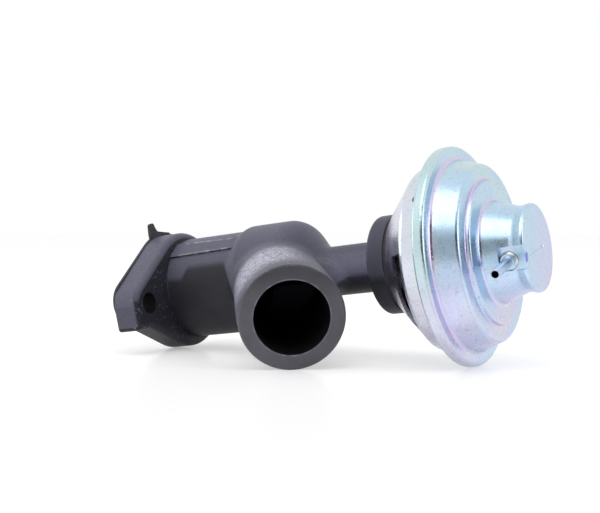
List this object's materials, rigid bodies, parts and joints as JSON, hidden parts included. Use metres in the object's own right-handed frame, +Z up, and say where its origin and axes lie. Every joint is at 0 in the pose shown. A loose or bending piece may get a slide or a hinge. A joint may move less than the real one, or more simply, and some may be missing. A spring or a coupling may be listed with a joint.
{
  "type": "egr valve",
  "caption": "Vacuum-operated exhaust gas recirculation valve: black cast body with a two-bolt inlet flange and angled outlet tube, zinc-plated stepped diaphragm capsule, nipple and sprung stem.",
  "frame": {"origin": "on the bench under the middle of the valve's footprint, the valve lying on its inlet flange, outlet tube end and capsule rim", "axes": "+X along the stem's horizontal run towards the capsule, +Z up from the bench, the outlet tube leans out towards -Y"},
  "size_m": [0.1398, 0.0848, 0.0685],
  "materials": {
    "cast_black": "satin black coating on a cast surface",
    "zinc": "blue passivated zinc plating",
    "steel": "machined",
    "bronze": "machined",
    "graphite": "pressed graphite",
    "fibre": "gasket sheet",
    "rubber": "fabric-backed rubber"
  },
  "bodies": {
    "housing": {"valve_body": "cast_black", "inlet_gasket": "fibre", "seat_ring": "steel", "guide_bush": "bronze", "carbon_scraper": "graphite", "stem_seal": "graphite", "seal_retainer": "steel", "insulating_gasket": "fibre", "capsule_screw_1": "steel", "capsule_screw_2": "steel", "capsule_screw_3": "steel", "lower_housing": "zinc", "upper_cover": "zinc", "vacuum_nipple": "zinc", "nipple_ferrule": "zinc", "spring_seat": "zinc", "return_spring": "steel", "diaphragm": "rubber"},
    "lift": {"valve_stem": "steel", "poppet": "steel", "stem_shield": "steel", "lower_plate": "zinc", "spring_cup": "zinc", "stem_washer": "steel", "stem_nut": "steel"}
  },
  "joints": [
    {"name": "valve_lift", "type": "slide", "parent": "housing", "child": "lift", "axis": [0.9917, 0, 0.1287], "range_m": [0, 0.0055], "stiffness_N_per_m": 6000, "springref_m": -0.0058, "deforming": ["return_spring", "diaphragm"]}
  ]
}
